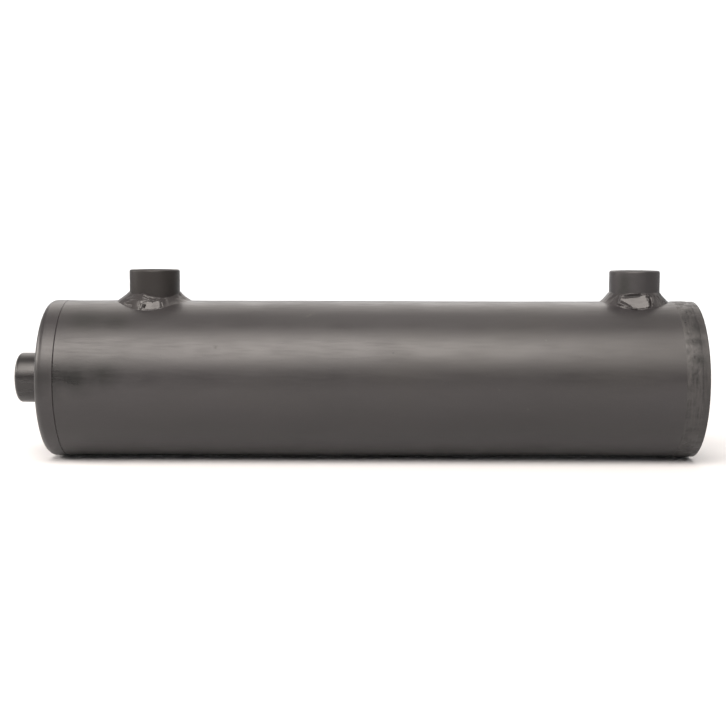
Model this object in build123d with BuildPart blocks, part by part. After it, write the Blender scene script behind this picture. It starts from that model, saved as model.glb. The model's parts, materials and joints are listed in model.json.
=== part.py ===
from build123d import *
import os
from math import cos, radians, sin

# Strap-mounted tubular hydraulic reservoir. Millimetres.
# +X runs along the tank axis from the screw-in end head to the welded base cap, +Z points up
# through the two top ports, and the origin is on the tank axis halfway between the end faces.

# ---- driving dimensions ----
overall_length = 471.4          # outer face of the end head to outer face of the base cap
pipe_radius = 114.3 / 2         # 4 inch nominal pipe
pipe_wall = 6.02                # schedule 40
bore_radius = pipe_radius - pipe_wall
left_port_inset = 76.8          # left port axis to the end head's face
right_port_inset = 43.1         # right port axis to the base cap's face

boss_radius = 36.5 / 2          # all three port bosses are cut from one bar size
port_top = 79.8                 # top face of the two top ports, above the tank axis
port_bottom = 47.0              # lower end of the two top ports, just inside the bore
boss_edge_round = 1.6
thread_minor_radius = 12.06     # 3/4 inch parallel pipe thread
thread_length = 15.0            # full thread in each port
thread_lead = 1.4               # 45 degree lead-in chamfer at the mouth
port_passage_radius = 10.0      # plain hole below the thread
boss_fit = 0.05                 # radial room around a boss in its hole
left_weld_leg = 9.5             # port welds' legs along the shell
right_weld_leg = 7.5
fillet_leg_on_boss = 7.0        # port weld's leg up the boss

end_boss_length = 24.0          # how far the end port stands out of the head
end_boss_edge = (4.6, 3.2)      # its rounded edge: across the face, along the side
head_flange = 13.55             # visible rim of the end head
head_edge_round = 5.5
seam_chamfer = 0.4              # small chamfers either side of the seam
seat_gap = 0.05                 # end head's flange to the end of the shell
head_wall = 18.0                # thickness of the head's end wall
head_pocket_radius = 43.0       # hollow inside the head's skirt
thread_run = 21.0               # head thread, from the flange inwards
head_thread_minor_radius = 51.16    # M106 x 3, root of the male thread
shell_thread_major_radius = 53.05   # M106 x 3, root of the female thread
spigot_radius = 50.95           # plain nose of the head beyond its thread
spigot_length = 18.0
seal_groove_radius = 46.60
seal_groove_start = 6.5         # groove's near wall, inwards from the end of the thread
seal_groove_width = 7.2
seal_room = 0.05                # O-ring to groove floor, and to the bore
oring_half_width = 3.2
nose_chamfer = 2.0
spanner_hole_radius = 4.0
spanner_hole_depth = 9.0
spanner_circle_radius = 40.0
spanner_holes = 4

weld_far = 16.5                 # base weld's far toe, from the base cap's face
weld_near = 5.0                 # base weld's near toe, from the base cap's face
weld_crown = 0.6                # how far the dressed bead stands over the pipe
weld_root_half = 1.2
weld_blank_half = 40.0          # half the length of pipe that a port weld is cut from
base_edge_chamfer = 0.5
base_spigot_length = 5.0        # inwards from the weld's root, backing it
base_spigot_gap = 0.05

baffle_x = 120.0
baffle_thickness = 3.0
baffle_gap = 0.25               # baffle's rim to the bore
baffle_top_cut = 38.0
baffle_bottom_cut = -36.0
baffle_hole_radius = 6.0
baffle_hole_spacing = 26.0
tack_radius = 3.5
tack_angles = (-20, 20, 160, 200)

drop_tube_radius = 21.3 / 2     # 1/2 inch nominal pipe
drop_tube_wall = 2.77
drop_tube_top = 56.9
drop_tube_bottom = -39.0
drop_tube_weld_leg = 4.0
end_weld_leg = 5.0              # fillet between the end port's boss and the head's inner face

strainer_radius = 33.0
strainer_length = 106.0
strainer_sheet = 1.2
strainer_core_radius = 18.0
strainer_pleats = 36
hex_across_flats = 32.0
hex_length = 10.0
collar_bore_radius = 8.5
collar_neck_radius = 12.0
collar_spigot_length = 12.0
strainer_socket_depth = 14.0
cap_rim = 6.0
core_hole_rows = 9
core_holes_around = 6
core_hole_radius = 3.0
pleat_room = 0.4                # mesh to the caps' rims, and to the core
mesh_radial_thickness = 1.6     # across a fold, measured along a radius

bypass_hole_radius = 7.0
poppet_radius = 9.0
poppet_thickness = 2.0
poppet_stem_radius = 2.0
poppet_stem_length = 22.0
cage_radius = 12.0
cage_length = 16.0
cage_sheet = 1.2
cage_window_length = 9.0
cage_window_width = 8.0
stem_running_gap = 0.08
poppet_seat_gap = 0.03
spring_mean_radius = 6.0
spring_wire = 1.0
spring_turns = 5
spring_end_gap = 0.06           # keeps the end coils off their seats

# ---- stations along the tank axis ----
head_face = -overall_length / 2
base_face = overall_length / 2
left_port_x = head_face + left_port_inset
right_port_x = base_face - right_port_inset
flange_back = head_face + head_flange
shell_start = flange_back + seat_gap
head_thread_end = flange_back + thread_run
head_nose = head_thread_end + spigot_length
head_inner_face = head_face + head_wall
end_boss_face = head_face - end_boss_length
end_boss_nose = head_inner_face + 10.0
weld_middle = base_face - (weld_far + weld_near) / 2
base_spigot_start = weld_middle - weld_root_half - base_spigot_length
seal_groove_x = head_thread_end + seal_groove_start
strainer_start = end_boss_nose + hex_length
strainer_end = strainer_start + strainer_length

os.makedirs("parts", exist_ok=True)


def finish(part, node):
    """Label a finished piece and write it as its own STEP file."""
    part.label = node
    export_step(part, f"parts/{node}.step")


def revolved(points):
    """A solid turned about the tank axis from (station, radius) corners."""
    with BuildPart() as turned:
        with BuildSketch(Plane.XZ):
            with BuildLine():
                Polyline(*points, close=True)
            make_face()
        revolve(axis=Axis.X)
    return turned.part


# ---- shell: a length of pipe, threaded inside at one end, bevelled for welding at the other ----
with BuildPart() as shell_tube:
    shell_thread_end = shell_start + thread_run + 1.0
    with BuildSketch(Plane.XZ):
        with BuildLine():
            Polyline(
                (shell_start + seam_chamfer, pipe_radius),
                (base_face - weld_far, pipe_radius),
                (weld_middle - weld_root_half, bore_radius),
                (shell_thread_end + 1.9, bore_radius),
                (shell_thread_end, shell_thread_major_radius),
                (shell_start, shell_thread_major_radius),
                (shell_start, pipe_radius - seam_chamfer),
                close=True,
            )
        make_face()
    revolve(axis=Axis.X)
    with BuildSketch(Plane.XY):
        with Locations((left_port_x, 0), (right_port_x, 0)):
            Circle(boss_radius + boss_fit)
    extrude(amount=pipe_radius + 5, mode=Mode.SUBTRACT)
finish(shell_tube.part, "shell_tube")


# ---- top ports: bar-turned bosses set through the shell, each with a fillet weld outside ----
def port_boss(port_x, passage_radius, socket_radius, socket_top):
    """A top port boss: thread at the mouth, plain passage, socket at the lower end."""
    thread_bottom = port_top - thread_lead - thread_length
    with BuildPart() as boss:
        with BuildSketch(Plane.XZ):
            with BuildLine():
                Polyline(
                    (port_x + socket_radius, port_bottom),
                    (port_x + boss_radius, port_bottom),
                    (port_x + boss_radius, port_top),
                    (port_x + thread_minor_radius + thread_lead, port_top),
                    (port_x + thread_minor_radius, port_top - thread_lead),
                    (port_x + thread_minor_radius, thread_bottom),
                    (port_x + passage_radius, thread_bottom),
                    (port_x + passage_radius, socket_top),
                    (port_x + socket_radius, socket_top),
                    close=True,
                )
            make_face()
        revolve(axis=Axis((port_x, 0, 0), (0, 0, 1)))
        mouth = boss.faces().sort_by(Axis.Z)[-1]
        fillet(mouth.edges().sort_by(SortBy.LENGTH)[-1], boss_edge_round)
    return boss.part


def port_weld(port_x, leg_on_shell):
    """The fillet weld that follows the saddle where a boss meets the shell."""
    with BuildPart() as weld:
        with BuildSketch(Plane.YZ.offset(port_x - weld_blank_half)):
            Circle(pipe_radius)
        extrude(amount=2 * weld_blank_half)
        with BuildSketch(Plane.XY):
            with Locations((port_x, 0)):
                Circle(boss_radius)
        extrude(amount=port_top)
        boss_side = weld.faces().filter_by(GeomType.CYLINDER).sort_by(Axis.Z)[-1]
        saddle = boss_side.edges().sort_by(Axis.Z)[0]
        chamfer(saddle, length=fillet_leg_on_boss, length2=leg_on_shell, reference=boss_side)
        with BuildSketch(Plane.YZ.offset(port_x - weld_blank_half)):
            Circle(pipe_radius)
        extrude(amount=2 * weld_blank_half, mode=Mode.SUBTRACT)
        with BuildSketch(Plane.XY):
            with Locations((port_x, 0)):
                Circle(boss_radius)
        extrude(amount=port_top, mode=Mode.SUBTRACT)
    return weld.part


drop_tube_bore = drop_tube_radius - drop_tube_wall
finish(port_boss(left_port_x, port_passage_radius, port_passage_radius + 1, port_bottom + 1),
       "left_port_boss")
finish(port_boss(right_port_x, drop_tube_bore, drop_tube_radius + boss_fit, drop_tube_top + 0.1),
       "right_port_boss")
finish(port_weld(left_port_x, left_weld_leg), "left_port_weld")
finish(port_weld(right_port_x, right_weld_leg), "right_port_weld")

# ---- base: a spigoted cap in the open end of the pipe, closed by a dressed butt weld ----
with BuildPart() as base_cap:
    with BuildSketch(Plane.XZ):
        with BuildLine():
            Polyline(
                (base_spigot_start, 0),
                (base_face, 0),
                (base_face, pipe_radius - base_edge_chamfer),
                (base_face - base_edge_chamfer, pipe_radius),
                (base_face - weld_near, pipe_radius),
                (weld_middle + weld_root_half, bore_radius),
                (weld_middle - weld_root_half, bore_radius - base_spigot_gap),
                (base_spigot_start, bore_radius - base_spigot_gap),
                close=True,
            )
        make_face()
    revolve(axis=Axis.X)
finish(base_cap.part, "base_cap")

with BuildPart() as base_weld:
    with BuildSketch(Plane.XZ):
        with BuildLine():
            toe_to_toe = ThreePointArc(
                (base_face - weld_far, pipe_radius),
                (weld_middle, pipe_radius + weld_crown),
                (base_face - weld_near, pipe_radius),
            )
            Polyline(
                toe_to_toe @ 1,
                (weld_middle + weld_root_half, bore_radius),
                (weld_middle - weld_root_half, bore_radius),
                toe_to_toe @ 0,
            )
        make_face()
    revolve(axis=Axis.X)
finish(base_weld.part, "base_weld")

# ---- baffle: keeps the returning oil away from the strainer; open below for oil, above for air ----
with BuildPart() as baffle_plate:
    with BuildSketch(Plane.YZ.offset(baffle_x)):
        Circle(bore_radius - baffle_gap)
        with Locations((0, (baffle_top_cut + baffle_bottom_cut) / 2)):
            Rectangle(2 * pipe_radius, baffle_top_cut - baffle_bottom_cut, mode=Mode.INTERSECT)
        with GridLocations(baffle_hole_spacing, baffle_hole_spacing, 3, 2):
            Circle(baffle_hole_radius, mode=Mode.SUBTRACT)
    extrude(amount=baffle_thickness)
finish(baffle_plate.part, "baffle_plate")

with BuildPart() as baffle_tacks:
    with Locations(Plane.YZ.offset(baffle_x + baffle_thickness)):
        for angle in tack_angles:
            with PolarLocations(bore_radius - 0.8, 1, start_angle=angle):
                Sphere(tack_radius)
    with BuildSketch(Plane.YZ.offset(baffle_x + baffle_thickness)):
        Circle(bore_radius)
    extrude(amount=tack_radius, mode=Mode.INTERSECT)
finish(baffle_tacks.part, "baffle_tacks")

# ---- return drop tube: carries the returning oil below the surface, cut square to the base cap ----
with BuildPart() as return_drop_tube:
    with BuildSketch(Plane.XY.offset(drop_tube_bottom)):
        with Locations((right_port_x, 0)):
            Circle(drop_tube_radius)
            Circle(drop_tube_bore, mode=Mode.SUBTRACT)
    extrude(amount=drop_tube_top - drop_tube_bottom)
    with BuildSketch(Plane.XZ):
        with BuildLine():
            Polyline(
                (right_port_x - drop_tube_radius, drop_tube_bottom),
                (right_port_x + drop_tube_radius, drop_tube_bottom),
                (right_port_x + drop_tube_radius, drop_tube_bottom + 2 * drop_tube_radius),
                close=True,
            )
        make_face()
    extrude(amount=pipe_radius, both=True, mode=Mode.SUBTRACT)
finish(return_drop_tube.part, "return_drop_tube")

with BuildPart() as drop_tube_weld:
    with BuildSketch(Plane.XZ):
        with BuildLine():
            Polyline(
                (right_port_x + drop_tube_radius, port_bottom),
                (right_port_x + drop_tube_radius + drop_tube_weld_leg, port_bottom),
                (right_port_x + drop_tube_radius, port_bottom - drop_tube_weld_leg),
                close=True,
            )
        make_face()
    revolve(axis=Axis((right_port_x, 0, 0), (0, 0, 1)))
finish(drop_tube_weld.part, "drop_tube_weld")

# ---- end head: screws into the shell on an M106 x 3 thread; the O-ring seals behind the thread ----
with BuildPart() as end_head:
    with BuildSketch(Plane.XZ):
        with BuildLine():
            Polyline(
                (head_face, boss_radius + boss_fit),
                (head_face, pipe_radius),
                (flange_back - seam_chamfer, pipe_radius),
                (flange_back, pipe_radius - seam_chamfer),
                (flange_back, head_thread_minor_radius),
                (head_thread_end, head_thread_minor_radius),
                (head_thread_end, spigot_radius),
                (seal_groove_x, spigot_radius),
                (seal_groove_x, seal_groove_radius),
                (seal_groove_x + seal_groove_width, seal_groove_radius),
                (seal_groove_x + seal_groove_width, spigot_radius),
                (head_nose - nose_chamfer, spigot_radius),
                (head_nose, spigot_radius - nose_chamfer),
                (head_nose, head_pocket_radius),
                (head_inner_face, head_pocket_radius),
                (head_inner_face, boss_radius + boss_fit),
                close=True,
            )
        make_face()
    revolve(axis=Axis.X)
    rim = end_head.faces().sort_by(Axis.X)[0].edges().sort_by(SortBy.LENGTH)[-1]
    fillet(rim, head_edge_round)
    with BuildSketch(Plane.YZ.offset(head_face)):
        with PolarLocations(spanner_circle_radius, spanner_holes, start_angle=45):
            Circle(spanner_hole_radius)
    extrude(amount=spanner_hole_depth, mode=Mode.SUBTRACT)
finish(end_head.part, "end_head")

with BuildPart() as head_oring:
    ring_inner = seal_groove_radius + seal_room
    ring_outer = bore_radius - seal_room
    with BuildSketch(Plane.XZ):
        with Locations((seal_groove_x + seal_groove_width / 2, (ring_inner + ring_outer) / 2)):
            Ellipse(oring_half_width, (ring_outer - ring_inner) / 2)
    revolve(axis=Axis.X)
finish(head_oring.part, "head_oring")

# ---- end port: a boss through the head, welded on the inner face; its inner socket holds the strainer
with BuildPart() as end_port_boss:
    thread_foot = end_boss_face + thread_lead + thread_length
    socket_start = end_boss_nose - strainer_socket_depth
    edge_across, edge_along = end_boss_edge
    with BuildSketch(Plane.XZ):
        with BuildLine():
            edge_low = (end_boss_face, boss_radius - edge_across)
            edge_high = (end_boss_face + edge_along, boss_radius)
            EllipticalCenterArc(
                (end_boss_face + edge_along, boss_radius - edge_across), edge_along, edge_across,
                start_angle=90, arc_size=90,
            )
            Polyline(
                edge_low,
                (end_boss_face, thread_minor_radius + thread_lead),
                (end_boss_face + thread_lead, thread_minor_radius),
                (thread_foot, thread_minor_radius),
                (thread_foot, port_passage_radius),
                (socket_start, port_passage_radius),
                (socket_start, thread_minor_radius),
                (end_boss_nose, thread_minor_radius),
                (end_boss_nose, boss_radius),
                edge_high,
            )
        make_face()
    revolve(axis=Axis.X)
finish(end_port_boss.part, "end_port_boss")

finish(revolved([
    (head_inner_face, boss_radius),
    (head_inner_face, boss_radius + end_weld_leg),
    (head_inner_face + end_weld_leg, boss_radius),
]), "end_port_weld")

# ---- suction strainer: collar, two pressed caps, perforated core and pleated mesh ----
with BuildPart() as strainer_collar:
    with BuildSketch(Plane.YZ.offset(end_boss_nose)):
        RegularPolygon(hex_across_flats / 2, 6, major_radius=False)
    extrude(amount=hex_length)
    with BuildSketch(Plane.YZ.offset(end_boss_nose)):
        Circle(thread_minor_radius - boss_fit)
    extrude(amount=-collar_spigot_length)
    with BuildSketch(Plane.YZ.offset(strainer_start)):
        Circle(collar_neck_radius)
    extrude(amount=strainer_sheet)
    with BuildSketch(Plane.YZ.offset(end_boss_nose - collar_spigot_length)):
        Circle(collar_bore_radius)
    extrude(amount=collar_spigot_length + hex_length + strainer_sheet, mode=Mode.SUBTRACT)
finish(strainer_collar.part, "strainer_collar")


def pressed_cap(face_x, rim_x, hole_radius):
    """A pressed disc with a turned-over rim; rim_x is the rim's free edge."""
    inwards = strainer_sheet if rim_x > face_x else -strainer_sheet
    return revolved([
        (face_x, hole_radius),
        (face_x, strainer_radius),
        (rim_x, strainer_radius),
        (rim_x, strainer_radius - strainer_sheet),
        (face_x + inwards, strainer_radius - strainer_sheet),
        (face_x + inwards, hole_radius),
    ])


finish(pressed_cap(strainer_start, strainer_start + cap_rim, collar_neck_radius), "strainer_top_cap")
finish(pressed_cap(strainer_end, strainer_end - cap_rim, bypass_hole_radius), "strainer_end_cap")

core_start = strainer_start + strainer_sheet
core_end = strainer_end - strainer_sheet
core_length = core_end - core_start
with BuildPart() as strainer_core_tube:
    with BuildSketch(Plane.YZ.offset(core_start)):
        Circle(strainer_core_radius)
        Circle(strainer_core_radius - strainer_sheet, mode=Mode.SUBTRACT)
    extrude(amount=core_length)
    for row in range(core_hole_rows):
        row_x = core_start + core_length * (row + 0.5) / core_hole_rows
        turn = 30 * (row % 2)
        with Locations(Plane((row_x, 0, 0), x_dir=(0, 1, 0), z_dir=(1, 0, 0))):
            with PolarLocations(0, core_holes_around // 2, start_angle=turn, angular_range=180):
                Cylinder(core_hole_radius, 4 * strainer_core_radius, rotation=(0, 90, 0), mode=Mode.SUBTRACT)
finish(strainer_core_tube.part, "strainer_core_tube")

pleat_outer = strainer_radius - strainer_sheet - pleat_room
pleat_inner = strainer_core_radius + pleat_room
with BuildPart() as strainer_mesh:
    outer_fold = []
    inner_fold = []
    for fold in range(2 * strainer_pleats):
        angle = radians(fold * 180 / strainer_pleats)
        crest = fold % 2 == 0
        outside = pleat_outer if crest else pleat_inner + mesh_radial_thickness
        inside = pleat_outer - mesh_radial_thickness if crest else pleat_inner
        outer_fold.append((outside * cos(angle), outside * sin(angle)))
        inner_fold.append((inside * cos(angle), inside * sin(angle)))
    with BuildSketch(Plane.YZ.offset(core_start)):
        Polygon(*outer_fold, align=None)
        Polygon(*inner_fold, align=None, mode=Mode.SUBTRACT)
    extrude(amount=core_length)
finish(strainer_mesh.part, "strainer_mesh")

# ---- bypass valve in the strainer's end cap: opens inwards when the mesh is blocked ----
cage_mouth = strainer_end - strainer_sheet
cage_floor = cage_mouth - cage_length
with BuildPart() as bypass_cage:
    with BuildSketch(Plane.XZ):
        with BuildLine():
            Polyline(
                (cage_mouth, cage_radius),
                (cage_floor, cage_radius),
                (cage_floor, poppet_stem_radius + stem_running_gap),
                (cage_floor + cage_sheet, poppet_stem_radius + stem_running_gap),
                (cage_floor + cage_sheet, cage_radius - cage_sheet),
                (cage_mouth, cage_radius - cage_sheet),
                close=True,
            )
        make_face()
    revolve(axis=Axis.X)
    with Locations((cage_mouth - cage_length / 2, 0, 0)):
        Box(cage_window_length, 3 * cage_radius, cage_window_width, mode=Mode.SUBTRACT)
        Box(cage_window_length, cage_window_width, 3 * cage_radius, mode=Mode.SUBTRACT)
finish(bypass_cage.part, "bypass_cage")

poppet_seat = cage_mouth - poppet_seat_gap
poppet_back = poppet_seat - poppet_thickness
finish(revolved([
    (poppet_seat, 0),
    (poppet_seat, poppet_radius),
    (poppet_back, poppet_radius),
    (poppet_back, poppet_stem_radius),
    (poppet_back - poppet_stem_length, poppet_stem_radius),
    (poppet_back - poppet_stem_length, 0),
]), "bypass_poppet")

spring_start = cage_floor + cage_sheet + spring_wire / 2 + spring_end_gap
spring_end = poppet_back - spring_wire / 2 - spring_end_gap
with BuildPart() as bypass_spring:
    with BuildLine():
        coil = Helix(
            pitch=(spring_end - spring_start) / spring_turns,
            height=spring_end - spring_start,
            radius=spring_mean_radius,
            center=(spring_start, 0, 0),
            direction=(1, 0, 0),
        )
    with BuildSketch(Plane(coil @ 0, z_dir=coil % 0)):
        Circle(spring_wire / 2)
    sweep(is_frenet=True)
finish(bypass_spring.part, "bypass_spring")
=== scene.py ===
import json
import math

import bmesh
import bpy
import numpy as np
from mathutils import Euler, Matrix, Quaternion, Vector, noise


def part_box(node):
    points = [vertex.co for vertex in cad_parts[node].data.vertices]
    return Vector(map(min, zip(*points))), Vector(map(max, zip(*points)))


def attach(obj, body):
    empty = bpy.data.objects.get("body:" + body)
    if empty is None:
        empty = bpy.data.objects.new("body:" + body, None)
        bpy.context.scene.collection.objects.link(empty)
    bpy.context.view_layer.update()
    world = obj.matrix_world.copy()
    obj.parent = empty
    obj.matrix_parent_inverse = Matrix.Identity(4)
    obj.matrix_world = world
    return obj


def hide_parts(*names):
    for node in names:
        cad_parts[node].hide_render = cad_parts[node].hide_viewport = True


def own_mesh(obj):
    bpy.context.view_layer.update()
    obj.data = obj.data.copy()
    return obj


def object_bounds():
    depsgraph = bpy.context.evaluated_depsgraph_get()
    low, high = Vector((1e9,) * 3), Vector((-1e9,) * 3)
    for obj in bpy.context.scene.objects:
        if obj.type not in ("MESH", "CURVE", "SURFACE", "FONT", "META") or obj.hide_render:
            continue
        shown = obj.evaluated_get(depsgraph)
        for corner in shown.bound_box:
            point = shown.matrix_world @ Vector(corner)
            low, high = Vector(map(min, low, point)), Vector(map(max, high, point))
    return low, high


# Looks of a strap-mounted tubular hydraulic reservoir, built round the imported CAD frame. Metres.
# +X runs along the tank from the screw-in end head to the welded base, +Z up through the ports.

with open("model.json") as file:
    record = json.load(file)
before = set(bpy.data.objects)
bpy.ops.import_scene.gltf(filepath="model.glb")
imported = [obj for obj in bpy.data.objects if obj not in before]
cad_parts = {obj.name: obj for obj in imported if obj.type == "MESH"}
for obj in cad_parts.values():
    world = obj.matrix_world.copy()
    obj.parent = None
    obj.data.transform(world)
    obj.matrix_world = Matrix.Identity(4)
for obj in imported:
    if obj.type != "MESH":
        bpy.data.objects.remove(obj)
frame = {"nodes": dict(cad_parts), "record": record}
cad_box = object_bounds()
MM = 0.001

# ---- sizes read from the frame, and the part's own sizes that its boxes don't give ----
shell_low, shell_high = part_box("shell_tube")
head_low, head_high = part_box("end_head")
base_low, base_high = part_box("base_cap")
base_weld_low, base_weld_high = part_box("base_weld")
end_boss_low, end_boss_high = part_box("end_port_boss")
port_dims = {m["name"]: m["dims"] for m in frame["record"]["mounts"]}

PIPE_WALL = 6.02 * MM
SEAM_CHAMFER = 0.4 * MM
HEAD_FLANGE = 13.55 * MM
HEAD_EDGE_ROUND = 5.5 * MM
HEAD_WALL = 18.0 * MM
HEAD_POCKET_RADIUS = 43.0 * MM
HEAD_THREAD_RUN = 21.0 * MM
HEAD_THREAD_PITCH = 3.0 * MM
HEAD_THREAD_ROOT = 51.18 * MM
HEAD_THREAD_CREST = 52.86 * MM
THREAD_CLEARANCE = 0.14 * MM
THREAD_FLAT = 0.12              # share of the pitch that is flat at a root, and again at a crest
RELIEF_RUN = 1.0 * MM           # the shell's thread runs this much further than the head's
RELIEF_CONE = 1.9 * MM
SPIGOT_RADIUS = 50.95 * MM
GROOVE_START = 6.5 * MM
GROOVE_WIDTH = 7.2 * MM
GROOVE_RADIUS = 46.6 * MM
NOSE_CHAMFER = 2.0 * MM
SPANNER_CIRCLE = 40.0 * MM
SPANNER_RADIUS = 4.0 * MM
SPANNER_DEPTH = 9.0 * MM
PORT_THREAD_PITCH = 25.4 / 14 * MM
PORT_THREAD_DEPTH = 1.16 * MM
PORT_THREAD_LEAD = 1.4 * MM
PORT_PASSAGE = 10.0 * MM
PASSAGE_CHAMFER = 1.0 * MM
DROP_TUBE_SOCKET = 10.7 * MM
DROP_TUBE_BORE = 7.88 * MM
DROP_TUBE_STOP = 57 * MM        # height of the shoulder that the drop tube butts against
BOSS_EDGE_ROUND = 1.6 * MM
END_BOSS_EDGE = (3.2 * MM, 4.6 * MM)
STRAINER_SOCKET = 14.0 * MM
BASE_EDGE = 0.5 * MM
BASE_ROOT = 1.2 * MM            # half the base weld's width at the bore
WELD_REACH = 27 * MM            # from a port boss's axis to about where its weld ends
CLEARANCE = 0.05 * MM           # between pieces that stand in each other
MARGIN = 0.02 * MM              # keeps rough surfaces inside their box, and the ports' mouths open

pipe_radius = head_high.z
bore_radius = pipe_radius - PIPE_WALL
flange_back = head_low.x + HEAD_FLANGE
boss_radius = end_boss_high.z
boss_places = [sum(corner.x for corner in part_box(f"{side}_port_boss")) / 2 for side in ("left", "right")]
port_minor = port_dims["left_port"]["r_mm"] * MM
port_thread = port_dims["left_port"]["length_mm"] * MM
mouth_radius = port_minor + PORT_THREAD_LEAD + MARGIN
weld_crown = base_weld_high.z - pipe_radius
skin_radius = pipe_radius - CLEARANCE   # what lies beyond it is the pipe's outer surface

SHELL_COLUMNS = 360
BOSS_COLUMNS = 144
CUTTER_SIDES = 96
SHARP_EDGE = 32                 # degrees
MERGE_DISTANCE = 2e-7


# ---- mesh building ----
def arc(centre, radii, start, end, count):
    """Points (station, radius) round part of an ellipse, in degrees from the station axis."""
    angles = [math.radians(start + (end - start) * step / count) for step in range(count + 1)]
    return [(centre[0] + radii[0] * math.cos(a), centre[1] + radii[1] * math.sin(a)) for a in angles]


def spaced(start, end, gap):
    """Points from start towards end, at most gap apart, without the end itself."""
    count = max(1, math.ceil(math.dist(start, end) / gap))
    return [tuple(s + (e - s) * i / count for s, e in zip(start, end)) for i in range(count)]


def plain_strip(points, columns):
    """A strip of rings through (station, radius) points."""
    stations, radii = (np.repeat(np.array(row)[:, None], columns, axis=1) for row in zip(*points))
    return stations, radii, 0


def thread_strip(low, high, pitch, profile, columns, rows_per_pitch=10):
    """A strip whose rows follow a right-handed helix. profile(stations, phases) gives the radii."""
    first, last = math.floor(low / pitch) - 2, math.ceil(high / pitch) + 2
    rows = np.arange(first * rows_per_pitch, last * rows_per_pitch)[:, None] / rows_per_pitch
    run = rows + np.arange(columns)[None, :] / columns
    stations = np.clip(run * pitch, low, high)
    phases = np.repeat(rows % 1.0, columns, axis=1)
    return stations, profile(stations, phases), rows_per_pitch


def ridge(phases):
    """A blunt V: 0 at the root of a thread and 1 at its crest."""
    return np.clip((1 - np.abs(2 * phases - 1) - THREAD_FLAT) / (1 - 2 * THREAD_FLAT), 0, 1)


def joined(name, vertices, faces, sharp=SHARP_EDGE):
    """An object from loose strips: joined where they meet, normals outwards, smooth but for sharp edges."""
    mesh = bpy.data.meshes.new(name)
    mesh.from_pydata([tuple(v) for v in vertices], [], faces)
    work = bmesh.new()
    work.from_mesh(mesh)
    bmesh.ops.remove_doubles(work, verts=work.verts, dist=MERGE_DISTANCE)
    bmesh.ops.recalc_face_normals(work, faces=work.faces)
    work.to_mesh(mesh)
    work.free()
    mesh.shade_smooth()
    mesh.set_sharp_from_angle(angle=math.radians(sharp))
    piece = bpy.data.objects.new(name, mesh)
    bpy.context.scene.collection.objects.link(piece)
    return piece


def round_x(stations, angles, radii):
    """Points at stations along the X axis, and at angles and radii round it."""
    return np.stack([stations, radii * np.cos(angles), radii * np.sin(angles)], axis=-1)


def turned(name, strips, about="X", centre=(0, 0, 0), shape=None):
    """A piece turned about the X or the Z axis. shape(stations, angles, radii) may change the radii."""
    vertices, faces, base = [], [], 0
    for stations, radii, shift in strips:
        rows, columns = stations.shape
        angles = np.repeat((np.arange(columns) * 2 * math.pi / columns)[None, :], rows, axis=0)
        if shape:
            radii = shape(stations, angles, radii)
        across, up = radii * np.cos(angles), radii * np.sin(angles)
        order = (stations, across, up) if about == "X" else (across, up, stations)
        vertices.append(np.stack(order, axis=-1).reshape(-1, 3) + np.array(centre))
        row, column = (g.ravel() for g in np.mgrid[0:rows - 1 - shift, 0:columns])
        last = column == columns - 1
        right = row + np.where(last, shift, 0)
        beside = np.where(last, 0, column + 1)
        corners = (row * columns + column, (row + 1) * columns + column,
                   (right + 1) * columns + beside, right * columns + beside)
        faces.extend((np.stack(corners, axis=1) + base).tolist())
        base += rows * columns
    return joined(name, np.concatenate(vertices), faces)


def drill(piece, holes):
    """Cut round holes through a piece. Each hole is (start, direction, radius, length)."""
    cutters = []
    for start, direction, radius, length in holes:
        bpy.ops.mesh.primitive_cylinder_add(vertices=CUTTER_SIDES, radius=radius, depth=length)
        cutter = bpy.context.object
        turn = Vector(direction).to_track_quat("Z", "Y").to_matrix().to_4x4()
        cutter.matrix_world = Matrix.Translation(Vector(start) + Vector(direction) * length / 2) @ turn
        cut = piece.modifiers.new("hole", "BOOLEAN")
        cut.operation = "DIFFERENCE"
        cut.solver = "EXACT"
        cut.object = cutter
        cutters.append(cutter)
    bpy.context.view_layer.update()
    uncut = piece.data
    piece.data = bpy.data.meshes.new_from_object(piece.evaluated_get(bpy.context.evaluated_depsgraph_get()))
    piece.data.name = piece.name
    piece.modifiers.clear()
    bpy.data.meshes.remove(uncut)
    for cutter in cutters:
        bpy.data.objects.remove(cutter)
    piece.data.set_sharp_from_angle(angle=math.radians(SHARP_EDGE))


def fine_noise(points, scale, seed):
    """Smooth noise between about -1 and 1 at many points, for features about scale across."""
    offset = Vector((seed * 7.13, seed * 3.71, seed * 1.37))
    flat = points.reshape(-1, 3) / scale
    return np.array([noise.noise(Vector(p) + offset) for p in flat]).reshape(points.shape[:-1])


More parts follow.
